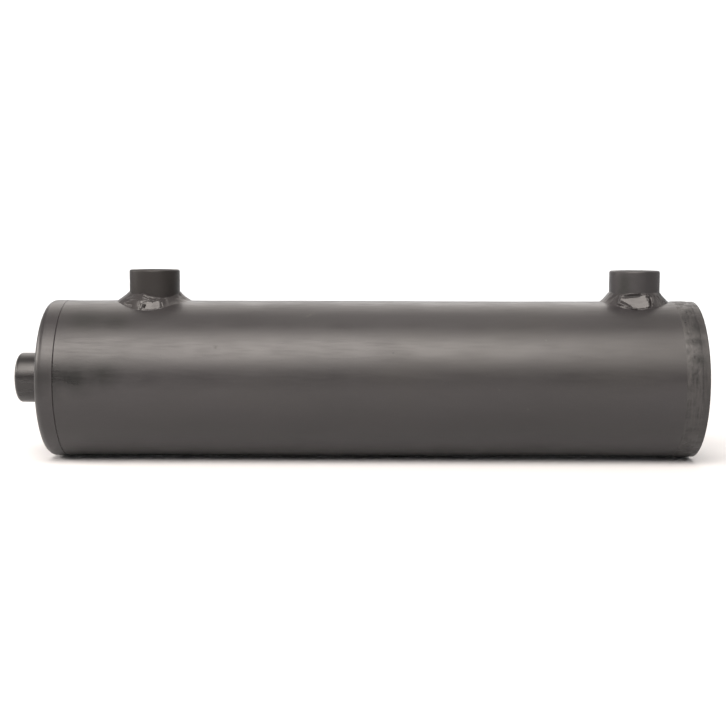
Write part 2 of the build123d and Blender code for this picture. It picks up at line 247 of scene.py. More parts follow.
# ---- the pieces ----
def make_shell():
    """The pipe: slightly wavy outside, threaded inside its left end, bevelled for the base weld."""
    start, foot = shell_low.x, base_weld_low.x
    thread_end = start + HEAD_THREAD_RUN + RELIEF_RUN
    relief = HEAD_THREAD_CREST + THREAD_CLEARANCE
    end_fade, weld_fade = 6 * MM, 14 * MM

    def female(stations, phases):
        depth = HEAD_THREAD_CREST - HEAD_THREAD_ROOT
        thread = HEAD_THREAD_ROOT + THREAD_CLEARANCE + depth * ridge(phases)
        mouth = relief - (stations - start)
        run_out = relief - (thread_end - stations)
        return np.minimum(np.maximum(np.maximum(thread, mouth), run_out), relief)

    def waviness(stations, angles, radii):
        outside = radii > skin_radius
        points = round_x(stations * 0.35, angles, radii)
        wave = 0.38 * fine_noise(points, 44 * MM, 3) + 0.10 * fine_noise(points, 15 * MM, 8)
        calm = np.clip((stations - start) / end_fade, 0, 1) * np.clip((foot - stations) / end_fade, 0, 1)
        for centre_x in boss_places:
            away = np.hypot(stations - centre_x, radii * np.cos(angles))
            calm = calm * np.where(np.sin(angles) > 0, np.clip((away - WELD_REACH) / weld_fade, 0, 1), 1)
        return radii - np.where(outside, (0.10 + wave) * MM * calm, 0)

    low = (start + SEAM_CHAMFER, pipe_radius)
    outer = spaced(low, (foot, pipe_radius), gap=3.2 * MM) + [(foot, pipe_radius)]
    root = (shell_high.x, bore_radius)
    cone = (thread_end + RELIEF_CONE, bore_radius)
    rings = outer + [root] + spaced(root, cone, gap=20 * MM)[1:] + [cone, (thread_end, relief)]
    shell = turned("tank_shell", [
        plain_strip(rings, SHELL_COLUMNS),
        thread_strip(start, thread_end, HEAD_THREAD_PITCH, female, SHELL_COLUMNS, rows_per_pitch=8),
        plain_strip([(start, relief), (start, pipe_radius - SEAM_CHAMFER), low], SHELL_COLUMNS),
    ], shape=waviness)
    drill(shell, [((centre_x, 0, 0), (0, 0, 1), boss_radius + CLEARANCE, pipe_radius + 5 * MM)
                  for centre_x in boss_places])
    return shell


def port_bore(mouth, direction):
    """profile() for a port's thread, cut inwards from its mouth and opened by a 45 degree lead-in."""
    def profile(stations, phases):
        depth = (mouth - stations) * direction
        full = port_minor + PORT_THREAD_DEPTH * (1 - ridge(phases))
        fade = np.clip((PORT_THREAD_LEAD + port_thread - depth) / PORT_THREAD_PITCH, 0, 1)
        threaded = port_minor + (full - port_minor) * fade
        return np.maximum(threaded, mouth_radius - depth)
    return profile


def make_port_boss(name, node, passage, socket):
    """A turned boss with its thread, edge rounds and passage; socket is (radius, top) or None."""
    low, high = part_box(node)
    centre_x = (low.x + high.x) / 2
    depth = PORT_THREAD_LEAD + port_thread
    thread_low = high.z - depth
    bore = [(thread_low, port_minor), (thread_low, passage)]
    if socket:
        bore += [(socket[1], passage), (socket[1], socket[0]), (low.z, socket[0])]
    else:
        bore += [(low.z + PASSAGE_CHAMFER, passage), (low.z, passage + PASSAGE_CHAMFER)]
    edge = arc((high.z - BOSS_EDGE_ROUND, boss_radius - BOSS_EDGE_ROUND),
               (BOSS_EDGE_ROUND, BOSS_EDGE_ROUND), 90, 0, 8)
    rings = bore + [(low.z, boss_radius)] + spaced((low.z, boss_radius), edge[0], gap=3 * MM)[1:]
    rings += edge + [(high.z, mouth_radius)]
    strips = [
        plain_strip(rings, BOSS_COLUMNS),
        thread_strip(thread_low, high.z, PORT_THREAD_PITCH, port_bore(high.z, 1), BOSS_COLUMNS),
    ]
    return turned(name, strips, about="Z", centre=(centre_x, 0, 0))


def make_end_boss():
    """The end port's boss through the head, with its rounded outer edge and both bores."""
    face, nose = end_boss_low.x, end_boss_high.x
    thread_high = face + PORT_THREAD_LEAD + port_thread
    along, across = END_BOSS_EDGE
    edge = arc((face + along, boss_radius - across), (along, across), 180, 90, 14)
    rings = [(face, mouth_radius)] + edge + spaced(edge[-1], (nose, boss_radius), gap=3 * MM)[1:]
    rings += [(nose, boss_radius), (nose, port_minor), (nose - STRAINER_SOCKET, port_minor),
              (nose - STRAINER_SOCKET, PORT_PASSAGE), (thread_high, PORT_PASSAGE),
              (thread_high, port_minor)]
    strips = [
        plain_strip(rings, BOSS_COLUMNS),
        thread_strip(face, thread_high, PORT_THREAD_PITCH, port_bore(face, -1), BOSS_COLUMNS),
    ]
    return turned("end_boss_turned", strips)


def make_head():
    """The screw-in end head: rounded rim, thread, seal groove, pocket and four blind spanner holes."""
    face, nose = head_low.x, head_high.x
    thread_end = flange_back + HEAD_THREAD_RUN
    groove = thread_end + GROOVE_START
    hole = boss_radius + CLEARANCE

    def male(stations, phases):
        thread = HEAD_THREAD_ROOT + (HEAD_THREAD_CREST - HEAD_THREAD_ROOT) * ridge(phases)
        run_out = HEAD_THREAD_ROOT + (stations - flange_back)
        lead = HEAD_THREAD_ROOT + (thread_end - stations)
        return np.minimum(np.minimum(thread, run_out), lead)

    rim = arc((face + HEAD_EDGE_ROUND, pipe_radius - HEAD_EDGE_ROUND),
              (HEAD_EDGE_ROUND, HEAD_EDGE_ROUND), 180, 90, 14)
    back = (flange_back - SEAM_CHAMFER, pipe_radius)
    outside = [(face, hole)] + spaced((face, hole), rim[0], gap=5 * MM)[1:] + rim
    outside += spaced(rim[-1], back, gap=3 * MM)[1:]
    outside += [back, (flange_back, pipe_radius - SEAM_CHAMFER), (flange_back, HEAD_THREAD_ROOT)]
    inside = [(thread_end, HEAD_THREAD_ROOT), (thread_end, SPIGOT_RADIUS), (groove, SPIGOT_RADIUS),
              (groove, GROOVE_RADIUS), (groove + GROOVE_WIDTH, GROOVE_RADIUS),
              (groove + GROOVE_WIDTH, SPIGOT_RADIUS), (nose - NOSE_CHAMFER, SPIGOT_RADIUS),
              (nose, SPIGOT_RADIUS - NOSE_CHAMFER), (nose, HEAD_POCKET_RADIUS),
              (face + HEAD_WALL, HEAD_POCKET_RADIUS), (face + HEAD_WALL, hole), (face, hole)]
    head = turned("head_turned", [
        plain_strip(outside, SHELL_COLUMNS),
        thread_strip(flange_back, thread_end, HEAD_THREAD_PITCH, male, SHELL_COLUMNS, rows_per_pitch=8),
        plain_strip(inside, SHELL_COLUMNS),
    ])
    outset = 1 * MM
    holes = []
    for quarter in range(4):
        angle = math.radians(45 + 90 * quarter)
        start = (face - outset, SPANNER_CIRCLE * math.cos(angle), SPANNER_CIRCLE * math.sin(angle))
        holes.append((start, (1, 0, 0), SPANNER_RADIUS, SPANNER_DEPTH + outset))
    drill(head, holes)
    return head


def make_base_weld():
    """The butt weld round the base, ground back and pitted, standing a little proud of the pipe."""
    toe, heel = base_weld_low.x, base_weld_high.x
    middle, half = (toe + heel) / 2, (heel - toe) / 2

    def dressed(stations, angles, radii):
        points = round_x(stations, angles, radii)
        across = np.clip(1 - ((stations - middle) / half) ** 2, 0, 1)
        wander = fine_noise(points * np.array([0.4, 1, 1]), 16 * MM, 5)
        lumps = fine_noise(points, 4.5 * MM, 11)
        grit = fine_noise(points, 1.3 * MM, 17)
        pits = np.clip(fine_noise(points, 2.6 * MM, 23) - 0.32, 0, 1)
        crown_share = 0.50 + 0.42 * wander + 0.16 * lumps + 0.07 * grit - 1.1 * pits
        face = (radii > skin_radius) * across ** 0.6
        return np.minimum(radii + weld_crown * crown_share * face, base_weld_high.z - MARGIN)

    crown = spaced((toe, pipe_radius), (heel, pipe_radius), gap=0.4 * MM) + [(heel, pipe_radius)]
    root = [(middle + BASE_ROOT, bore_radius), (middle - BASE_ROOT, bore_radius), (toe, pipe_radius)]
    return turned("base_weld_dressed", [plain_strip(crown + root, 2 * SHELL_COLUMNS)], shape=dressed)


def make_base_cap():
    """The base: a solid stepped cap with a hand-ground rim and a flat face."""
    heel, face = base_weld_high.x, base_high.x
    middle = (base_weld_low.x + heel) / 2

    def ground(stations, angles, radii):
        points = round_x(stations, angles, radii)
        outside = radii > pipe_radius - 0.9 * MM
        scratches = 0.10 * fine_noise(points, 7 * MM, 31) + 0.05 * fine_noise(points, 1.6 * MM, 37)
        return radii - np.where(outside, np.abs(scratches) * MM, 0)

    spigot = bore_radius - CLEARANCE
    rim = spaced((heel, pipe_radius), (face - BASE_EDGE, pipe_radius), gap=0.5 * MM)
    rim += arc((face - BASE_EDGE, pipe_radius - BASE_EDGE), (BASE_EDGE, BASE_EDGE), 90, 0, 4)
    end = spaced((face, pipe_radius - BASE_EDGE), (face, 0), gap=4 * MM)[1:] + [(face, 0)]
    rings = [(base_low.x, 0), (base_low.x, spigot), (middle - BASE_ROOT, spigot),
             (middle + BASE_ROOT, bore_radius)] + rim + end
    return turned("base_cap_turned", [plain_strip(rings, 2 * SHELL_COLUMNS)], shape=ground)


def smooth(share):
    """A share from 0 to 1, eased at both ends."""
    return share * share * (3 - 2 * share)


def swept(angles, table, column):
    """A value that runs smoothly round the boss through a table of (degrees, values...)."""
    at = np.array([row[0] for row in table], dtype=float)
    value = np.array([row[column] for row in table], dtype=float)
    turn = (np.degrees(angles) - at[0]) % 360 + at[0]
    at, value = np.append(at, at[0] + 360), np.append(value, value[0])
    spot = np.clip(np.searchsorted(at, turn, side="right") - 1, 0, len(at) - 2)
    share = smooth((turn - at[spot]) / (at[spot + 1] - at[spot]))
    return value[spot] * (1 - share) + value[spot + 1] * share


def flat_share(turn, t, patch):
    """How much a point of a bead lies in a flat patch: 1 inside it, fading to 0 at its rim."""
    _, half, fade, bottom, crest = patch
    rim = 0.06
    inside = np.clip((half - np.abs(turn)) / fade, 0, 1)
    return smooth(inside * np.clip((t - bottom) / rim, 0, 1) * np.clip((crest - t) / rim, 0, 1))


def mark_height(side, climbed, face_length, mark):
    """A round-topped ridge or groove along a line on the face of a bead, in mm."""
    (from_side, from_share), (to_side, to_share), width, size = mark
    from_x, from_climb = from_side * MM, from_share * face_length
    run_x, run_climb = to_side * MM - from_x, to_share * face_length - from_climb
    length_squared = run_x ** 2 + run_climb ** 2 + 1e-12
    nearest = ((side - from_x) * run_x + (climbed - from_climb) * run_climb) / length_squared
    nearest = np.clip(nearest, 0, 1)
    away = np.hypot(side - from_x - nearest * run_x, climbed - from_climb - nearest * run_climb)
    return size * np.exp(-(away / (width * MM)) ** 2)


def make_port_weld(name, node, centre_x, seed, sections, flats, marks):
    """A hand-laid fillet weld round a boss, following the saddle.

    sections give, by bearing, the run along the shell, the climb up the boss, where on the climb the
    face has its knee, how far the knee stands out, and how far the rest bellies out. flats are
    patches where the bead froze flat: bearing, half angle, fade, and from where to where on the
    climb. marks are ridges (height > 0) and grooves on the front, each from one (sideways, share of
    the climb) to another, with a width and a height. Angles are in degrees, the rest in mm.
    """
    top_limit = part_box(node)[1].z
    around, across = 720, 52
    toe_sink, root_sink = 0.06 * MM, 0.15 * MM  # how deep the bead's edges lie in the pipe
    ripple_pitch = 2.3 * MM
    chord_share = 0.62  # of its half angle, where a flat patch cuts through the round
    angles = np.arange(around) * 2 * math.pi / around
    ring = np.stack([np.cos(angles), np.sin(angles), np.zeros(around)], axis=-1)

    def on_shell(reach, sink=0.0):
        y = reach * np.sin(angles)
        z = np.sqrt((pipe_radius - sink) ** 2 - y ** 2)
        return np.stack([centre_x + reach * np.cos(angles), y, z], axis=-1)

    wander = fine_noise(ring * boss_radius, 8 * MM, seed)
    run = swept(angles, sections, 1) * MM * (1 + 0.05 * wander)
    climb = swept(angles, sections, 2) * MM + 0.25 * MM * fine_noise(ring * boss_radius, 5 * MM, seed + 2)
    knee, knee_height, belly = (swept(angles, sections, column) for column in (3, 4, 5))
    toe = on_shell(boss_radius + run, toe_sink)
    foot = on_shell(np.full(around, boss_radius))
    top = foot.copy()
    top[:, 2] = np.minimum(foot[:, 2] + climb, top_limit - CLEARANCE)
    along = top - toe
    face_length = np.linalg.norm(along, axis=1)
    tangent = np.cross(np.array([0, 0, 1]), ring)
    outwards = np.cross(tangent, along)
    outwards /= np.linalg.norm(outwards, axis=1)[:, None]
    outwards *= np.sign((outwards * ring).sum(axis=1))[:, None]
    front = np.sin(angles) < 0.1

    rows = []
    for t in np.linspace(0, 1, across + 1):
        line = toe * (1 - t) + top * t
        height = knee_height * np.minimum(t / knee, (1 - t) / (1 - knee)) + belly * 4 * t * (1 - t)
        rough = np.ones(around)
        for patch in flats:
            bearing, half = patch[:2]
            turn = (np.degrees(angles) - bearing + 180) % 360 - 180
            inside = flat_share(turn, t, patch)
            chord = math.cos(math.radians(chord_share * half)) / np.cos(np.radians(turn)) - 1
            pressed = (boss_radius + run * (1 - t)) / MM * chord
            height = height + inside * np.where(np.abs(turn) < half + 1, pressed, 0)
            rough = rough - 0.7 * inside
        edge = min(1, 9 * t) * min(1, 9 * (1 - t))
        sweep = angles * boss_radius / ripple_pitch + 0.9 * (t - 0.5) ** 2
        height = height + edge * rough * (
            0.05 * (np.abs(np.sin(sweep * math.pi)) - 0.6)
            + 0.20 * fine_noise(line, 3.4 * MM, seed + 5)
            + 0.05 * fine_noise(line, 1.0 * MM, seed + 9))
        side, climbed = line[:, 0] - centre_x, t * face_length
        for mark in marks:
            height = height + front * mark_height(side, climbed, face_length, mark)
        rows.append(line + outwards * height[:, None] * MM)
    rows[0] = toe
    rows[-1] = top
    rows.append(on_shell(np.full(around, boss_radius - CLEARANCE), root_sink))
    grid = np.stack(rows)
    grid[..., 2] = np.minimum(grid[..., 2], top_limit - MARGIN)
    count = len(rows)
    row, column = (g.ravel() for g in np.mgrid[0:count, 0:around])
    below, beside = (row + 1) % count, (column + 1) % around
    faces = np.stack([row * around + column, below * around + column,
                      below * around + beside, row * around + beside], axis=1).tolist()
    return joined(name, grid.reshape(-1, 3), faces, sharp=50)


def make_spring():
    """The bypass valve's spring: seven turns of round wire, closed up at both ends."""
    low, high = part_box("bypass_spring")
    wire = 0.5 * MM
    radius = high.z - wire
    start, end = low.x + wire, high.x - wire
    turns, steps_per_turn = 7, 48
    closed_share, open_share = 0.06, 0.88
    points = []
    for step in range(turns * steps_per_turn + 1):
        share = step / (turns * steps_per_turn)
        opening = 0.5 - 0.5 * math.cos(math.pi * min(1, max(0, (share - closed_share) / open_share)))
        angle = 2 * math.pi * turns * share
        run = 0.35 * share + 0.65 * opening
        points.append((start + (end - start) * run, radius * math.cos(angle), radius * math.sin(angle)))
    curve = bpy.data.curves.new("spring_path", "CURVE")
    curve.dimensions = "3D"
    spline = curve.splines.new("POLY")
    spline.points.add(len(points) - 1)
    for point, place in zip(spline.points, points):
        point.co = (*place, 1)
    curve.bevel_depth = wire
    curve.bevel_resolution = 4
    curve.use_fill_caps = True
    path = bpy.data.objects.new("spring_path", curve)
    bpy.context.scene.collection.objects.link(path)
    bpy.context.view_layer.update()
    mesh = bpy.data.meshes.new_from_object(path.evaluated_get(bpy.context.evaluated_depsgraph_get()))
    bpy.data.objects.remove(path)
    mesh.name = "spring_coil"
    mesh.shade_smooth()
    spring = bpy.data.objects.new("spring_coil", mesh)
    bpy.context.scene.collection.objects.link(spring)
    return spring


# ---- materials ----
def material(name, colour, roughness, metallic=0.0):
    """A new node material and its principled shader."""
    surface = bpy.data.materials.new(name)
    surface.use_nodes = True
    shader = surface.node_tree.nodes["Principled BSDF"]
    shader.inputs["Base Color"].default_value = (*colour, 1)
    shader.inputs["Roughness"].default_value = roughness
    shader.inputs["Metallic"].default_value = metallic
    return surface, shader


def node(surface, kind, **inputs):
    """A node with some of its sockets set or linked. Underscores stand for spaces."""
    new = surface.node_tree.nodes.new(kind)
    for socket, value in inputs.items():
        target = new.inputs[socket.replace("_", " ")]
        if isinstance(value, bpy.types.NodeSocket):
            surface.node_tree.links.new(value, target)
        else:
            target.default_value = value
    return new


def blotches(surface, scale, detail=4.0, stretch=(1, 1, 1), rough=0.55):
    """Noise of one feature size, in metres, over the object's own coordinates."""
    place = node(surface, "ShaderNodeTexCoord")
    mapped = node(surface, "ShaderNodeMapping", Vector=place.outputs["Object"], Scale=stretch)
    cloud = node(surface, "ShaderNodeTexNoise", Vector=mapped.outputs["Vector"], Scale=1 / scale,
                 Detail=detail, Roughness=rough)
    return cloud.outputs["Fac"]


def between(surface, factor, low, high, value_low=0.0, value_high=1.0):
    """factor from low..high mapped to value_low..value_high, clamped."""
    scaled = node(surface, "ShaderNodeMapRange", Value=factor)
    sockets = {"From Min": low, "From Max": high, "To Min": value_low, "To Max": value_high}
    for socket, value in sockets.items():
        scaled.inputs[socket].default_value = value
    return scaled.outputs["Result"]


def tinted(surface, factor, dark, light):
    """A colour between dark and light, which are colours or sockets."""
    ramp = node(surface, "ShaderNodeMix")
    ramp.data_type = "RGBA"
    surface.node_tree.links.new(factor, ramp.inputs[0])
    for socket, colour in zip((ramp.inputs[6], ramp.inputs[7]), (dark, light)):
        if isinstance(colour, bpy.types.NodeSocket):
            surface.node_tree.links.new(colour, socket)
        else:
            socket.default_value = (*colour, 1)
    return ramp.outputs[2]


def bumped(surface, shader, heights):
    """Chain bumps from (height socket, distance in metres, strength)."""
    normal = None
    for height, distance, strength in heights:
        bump = node(surface, "ShaderNodeBump", Height=height, Distance=distance, Strength=strength)
        if normal:
            surface.node_tree.links.new(normal, bump.inputs["Normal"])
        normal = bump.outputs["Normal"]
    surface.node_tree.links.new(normal, shader.inputs["Normal"])


def coating(name, dark, light, roughness, grain=1.0, stains=0.0, marks=(), level=0.5):
    """Satin black-grey coating: cloudy tone, rubbed patches, fine streaks, orange peel and dust.

    stains is how much the tone and gloss break up, as over a dressed weld. marks are spots:
    place, radius, colour lightness, and how much rougher the spot is. Some marks are painted shade, painted
    reflection or painted highlight.
    """
    surface, shader = material(name, dark, roughness)
    shader.inputs["Specular IOR Level"].default_value = level
    link = surface.node_tree.links.new

    def plus(value, factor, low, high):
        total = node(surface, "ShaderNodeMath", Value=value)
        link(between(surface, factor, 0, 1, low, high), total.inputs[1])
        return total.outputs["Value"]

    tone = between(surface, blotches(surface, 60 * MM, 3.0, (0.4, 1, 1)), 0.3, 0.7)
    warm = between(surface, blotches(surface, 75 * MM, 2.0, (0.6, 1, 1.3)), 0.35, 0.65)
    light_cool = tuple(c * f for c, f in zip(light, (0.98, 0.96, 1.08)))
    colour = tinted(surface, tone, dark, tinted(surface, warm, light_cool, light))
    rubbed = between(surface, blotches(surface, 20 * MM, 4.0, (0.6, 1, 1)), 0.3, 0.7)
    streaks = between(surface, blotches(surface, 1.3 * MM, 3.0, (0.07, 1, 1)), 0.42, 0.75)
    gloss = between(surface, rubbed, 0, 1, roughness - 0.045, roughness + 0.06)
    gloss = plus(gloss, streaks, -0.01, 0.09)
    if stains:
        stain = between(surface, blotches(surface, 5 * MM, 5.0, (0.7, 1, 1)), 0.42, 0.60)
        lines = between(surface, blotches(surface, 1.4 * MM, 4.0, (1, 0.1, 0.1)), 0.35, 0.65)
        colour = tinted(surface, stain, tuple(c * (1 - stains) for c in dark), colour)
        colour = tinted(surface, lines, colour, tuple(c * (1 + 0.4 * stains) for c in light))
        gloss = plus(plus(gloss, stain, 0.10, -0.04), lines, -0.08, 0.08)
    dust = between(surface, blotches(surface, 0.9 * MM, 1.0), 0.66, 0.80, 0, 0.35)
    colour = tinted(surface, dust, colour, tuple(c * 2 for c in light))
    if marks:
        place = node(surface, "ShaderNodeTexCoord").outputs["Object"]
        ragged = between(surface, blotches(surface, 14 * MM, 3.0), 0.3, 0.7, -0.2, 0.2)
    for centre, radius, shade, rougher in marks:
        away = node(surface, "ShaderNodeVectorMath")
        away.operation = "DISTANCE"
        link(place, away.inputs[0])
        away.inputs[1].default_value = centre
        reach = node(surface, "ShaderNodeMath", Value=ragged)
        link(between(surface, away.outputs["Value"], 0, 2 * radius, 0, 2), reach.inputs[1])
        mask = between(surface, reach.outputs["Value"], 0.15, 1.05, 1, 0)
        colour = tinted(surface, mask, colour, (shade, shade * 0.95, shade * 0.9))
        gloss = plus(gloss, mask, 0, rougher)
    link(colour, shader.inputs["Base Color"])
    link(gloss, shader.inputs["Roughness"])
    peel = blotches(surface, 0.9 * MM, 2.0)
    specks = blotches(surface, 1.6 * MM, 2.0)
    brushed = blotches(surface, 1.0 * MM, 3.0, (0.06, 1, 1))
    bumped(surface, shader, [(peel, 0.05 * MM, 0.30 * grain), (specks, 0.06 * MM, 0.20 * grain),
                          (brushed, 0.03 * MM, 0.15)])
    return surface


def bare_metal(name, dark, light, roughness, scale=(1, 1, 1), feature=2.0):
    """Bare or plated metal with a directional finish and stains."""
    surface, shader = material(name, dark, roughness, 1.0)
    link = surface.node_tree.links.new
    link(tinted(surface, between(surface, blotches(surface, 9 * MM, 5.0), 0.3, 0.7), dark, light),
         shader.inputs["Base Color"])
    link(between(surface, blotches(surface, 4 * MM, 4.0), 0.3, 0.7, roughness - 0.08, roughness + 0.1),
         shader.inputs["Roughness"])
    bumped(surface, shader, [(blotches(surface, feature * MM, 3.0, scale), 0.03 * MM, 0.4)])
    return surface


def woven_wire(name):
    """Stainless mesh: two crossing wave bumps, with painted shade in the gaps between the wires."""
    surface, shader = material(name, (0.42, 0.42, 0.41), 0.38, 1.0)
    link = surface.node_tree.links.new
    place = node(surface, "ShaderNodeTexCoord")
    waves = []
    for direction in ("X", "Y"):
        wave = node(surface, "ShaderNodeTexWave", Vector=place.outputs["Object"], Scale=180.0)
        wave.bands_direction = direction
        waves.append(wave.outputs["Fac"])
    weave = node(surface, "ShaderNodeMath")
    weave.operation = "MULTIPLY"
    link(waves[0], weave.inputs[0])
    link(waves[1], weave.inputs[1])
    link(tinted(surface, weave.outputs["Value"], (0.16, 0.16, 0.15), (0.52, 0.52, 0.50)),
         shader.inputs["Base Color"])
    bumped(surface, shader, [(weave.outputs["Value"], 0.1 * MM, 0.8)])
    return surface


def plastic_or_rubber(name, dark, light, roughness, feature):
    """A dull moulded surface."""
    surface, shader = material(name, dark, roughness)
    link = surface.node_tree.links.new
    link(tinted(surface, between(surface, blotches(surface, 6 * MM, 4.0), 0.3, 0.7), dark, light),
         shader.inputs["Base Color"])
    bumped(surface, shader, [(blotches(surface, feature * MM, 3.0), 0.02 * MM, 0.4)])
    return surface


def dress(piece, surface):
    """Give a piece one material."""
    piece.data.materials.clear()
    piece.data.materials.append(surface)


# ---- build ----
def pipe_marks(*rows):
    """Marks for coating() on the pipe's front.

    Each row is the place along the pipe in mm, the elevation in degrees, the radius in mm, the
    colour's lightness, and how much rougher the mark is.
    """
    marks = []
    for x, elevation, radius, shade, rougher in rows:
        turn = math.radians(elevation)
        centre = (x * MM, -pipe_radius * math.cos(turn), pipe_radius * math.sin(turn))
        marks.append((centre, radius * MM, shade, rougher))
    return marks


SCUFFS = pipe_marks(
    (-147, 22, 0.7, 0.006, 0.0), (15, 24, 0.9, 0.006, 0.0), (145, 21, 0.7, 0.006, 0.0),
    (-109, 28, 1.6, 0.045, 0.2), (-45.5, 56, 1.5, 0.04, 0.2), (-43.5, 58, 1.6, 0.045, 0.2),
    (-41.5, 60, 1.5, 0.04, 0.2), (-39, 63, 1.2, 0.035, 0.2), (122, 34, 0.9, 0.045, 0.2),
    (88.5, -2, 0.9, 0.035, 0.2), (109, -16, 0.9, 0.035, 0.2),
)
# Painted shade on the pipe's left end: the three low patches paint a dark reflection just under the
# highlight, and the three high ones paint the shade on the top towards the end.
LEFT_END_PAINTED_SHADE = pipe_marks(
    (-226, 4, 17, 0.006, -0.10), (-206, 5, 15, 0.007, -0.08), (-186, 8, 13, 0.009, -0.05),
    (-180, 50, 13, 0.014, 0.02), (-204, 51, 15, 0.013, 0.03), (-243, 46, 14, 0.010, 0.04),
)
# Painted shade on the head: a dark reflection on the rim beside the end boss, and shade on its top towards
# the end.
HEAD_PAINTED_SHADE = pipe_marks((-240, 3, 17, 0.005, 0.06), (-240, 48, 12, 0.010, 0.04))
# Darker, rougher patches across the highlight band at the base's edge.
BASE_DARK_PATCHES = pipe_marks(*((229, elevation, 6.5, 0.006, 0.10) for elevation in (20, 32, 44)))
# Painted highlight: lighter patches on the base weld's toe.
BEAD_PAINTED_HIGHLIGHT = pipe_marks(*((218, elevation, 5, 0.034, 0.03) for elevation in (20, 31, 42)))
# A darker, rougher vertical strip down the right boss's front.
BOSS_DARK_STRIP = [((boss_places[1] - 9.5 * MM, -14 * MM, height * MM), 6.5 * MM, 0.007, 0.08)
               for height in (62, 68, 74)]

shell_paint = coating("shell_paint", (0.0185, 0.017, 0.0175), (0.024, 0.022, 0.0215), 0.345,
                      marks=LEFT_END_PAINTED_SHADE + SCUFFS)
head_paint = coating("head_paint", (0.0185, 0.017, 0.0175), (0.024, 0.0215, 0.022), 0.35, 1.2,
                     marks=HEAD_PAINTED_SHADE)
end_boss_paint = coating("end_boss_paint", (0.013, 0.012, 0.012), (0.017, 0.015, 0.015), 0.30)
dark_boss_paint = coating("dark_boss_paint", (0.010, 0.009, 0.0085), (0.014, 0.012, 0.011), 0.42,
                          level=0.30)
boss_paint = coating("boss_paint", (0.019, 0.0175, 0.018), (0.025, 0.0225, 0.0235), 0.40, marks=BOSS_DARK_STRIP)
weld_paint = coating("weld_paint", (0.020, 0.018, 0.018), (0.028, 0.025, 0.024), 0.33, 1.4)
ground_paint = coating("ground_paint", (0.018, 0.0165, 0.0165), (0.027, 0.025, 0.0245), 0.40, 1.6, 0.65,
                       marks=BEAD_PAINTED_HIGHLIGHT + BASE_DARK_PATCHES)
base_paint = coating("base_paint", (0.018, 0.0165, 0.0165), (0.025, 0.023, 0.0225), 0.37, 1.4, 0.25,
                     marks=BASE_DARK_PATCHES)
bare_weld = bare_metal("bare_weld", (0.16, 0.14, 0.13), (0.30, 0.27, 0.25), 0.5, feature=1.2)
bare_plate = bare_metal("bare_plate", (0.18, 0.17, 0.17), (0.28, 0.27, 0.27), 0.46)
plated = bare_metal("plated_sheet", (0.52, 0.50, 0.44), (0.64, 0.62, 0.56), 0.32)
collar_metal = bare_metal("turned_collar", (0.50, 0.48, 0.44), (0.62, 0.60, 0.55), 0.3, (12, 1, 1))
spring_steel = bare_metal("spring_steel", (0.34, 0.34, 0.35), (0.46, 0.46, 0.47), 0.28, (1, 6, 6))
wire_mesh = woven_wire("wire_mesh")
seal_rubber = plastic_or_rubber("seal_rubber", (0.012, 0.012, 0.012), (0.02, 0.02, 0.02), 0.5, 1.5)
nylon = plastic_or_rubber("moulded_nylon", (0.03, 0.03, 0.035), (0.045, 0.045, 0.05), 0.45, 2.0)

# The two port welds, as make_port_weld() takes them. Bearings run from +X, and -90 faces the camera.
LEFT_SECTIONS = [
    (-180, 9.3, 7.0, 0.5, 0.0, -0.4), (-160, 9.0, 6.6, 0.5, 0.2, -0.4), (-140, 8.6, 6.3, 0.5, 0.5, -0.3),
    (-120, 8.4, 7.4, 0.45, 0.9, -0.2), (-106, 8.3, 8.3, 0.50, 1.3, 0.0), (-92, 7.3, 7.2, 0.60, 1.5, 0.0),
    (-74, 6.3, 5.8, 0.60, 1.2, -0.1), (-58, 5.0, 4.6, 0.5, 0.2, -0.5), (-40, 5.6, 4.7, 0.5, 0.0, -0.8),
    (-20, 7.5, 5.4, 0.5, 0.0, -1.0), (0, 9.0, 6.8, 0.5, 0.0, -0.7), (30, 8.0, 6.6, 0.5, 0.0, 0.0),
    (75, 7.4, 6.2, 0.5, 0.3, 0.4), (130, 7.6, 6.4, 0.5, 0.4, 0.3),
]
LEFT_FLATS = [(-90, 21, 7, 0.04, 0.60)]
LEFT_MARKS = [
    ((-4.6, 0.95), (5.3, 0.91), 0.34, 0.50), ((5.3, 0.91), (10.4, 0.84), 0.34, 0.25),
    ((-4.8, 0.84), (5.6, 0.80), 0.42, -0.45),
    ((-5.4, 0.77), (-0.3, 0.69), 0.32, 0.35), ((-0.3, 0.69), (1.6, 0.53), 0.32, 0.35),
    ((-4.4, 0.44), (-1.6, 0.58), 0.40, -0.25), ((-3.9, 0.20), (-3.4, 0.32), 0.45, -1.10),
    ((-6.4, 0.08), (-5.4, 0.30), 0.80, 0.50), ((-8.2, 0.30), (-7.2, 0.05), 0.50, -0.50),
    ((-19.8, 0.12), (-16.6, 0.34), 0.50, 0.28), ((-18.9, 0.06), (-14.5, 0.12), 0.70, -0.80),
    ((-15.0, 0.55), (-9.5, 0.62), 0.50, -0.20), ((7.6, 0.52), (8.5, 0.16), 0.40, -0.45),
    ((1.5, 0.30), (5.0, 0.22), 0.60, 0.12),
]
RIGHT_SECTIONS = [
    (-180, 6.6, 7.2, 0.5, 0.0, -0.3), (-150, 5.4, 7.0, 0.5, 0.0, -0.3), (-130, 5.2, 7.8, 0.5, 0.1, -0.1),
    (-108, 5.2, 9.4, 0.5, 0.1, 0.1), (-88, 5.5, 9.6, 0.5, 0.1, 0.1), (-68, 5.3, 9.5, 0.5, 0.1, 0.0),
    (-44, 5.2, 8.4, 0.5, 0.0, -0.2), (-20, 6.0, 7.6, 0.5, 0.0, -0.3), (0, 6.9, 7.2, 0.5, 0.0, -0.3),
    (60, 6.6, 6.6, 0.5, 0.2, 0.4), (120, 6.4, 6.4, 0.5, 0.2, 0.4),
]
RIGHT_FLATS = [(-101, 33, 8, 0.10, 0.92)]
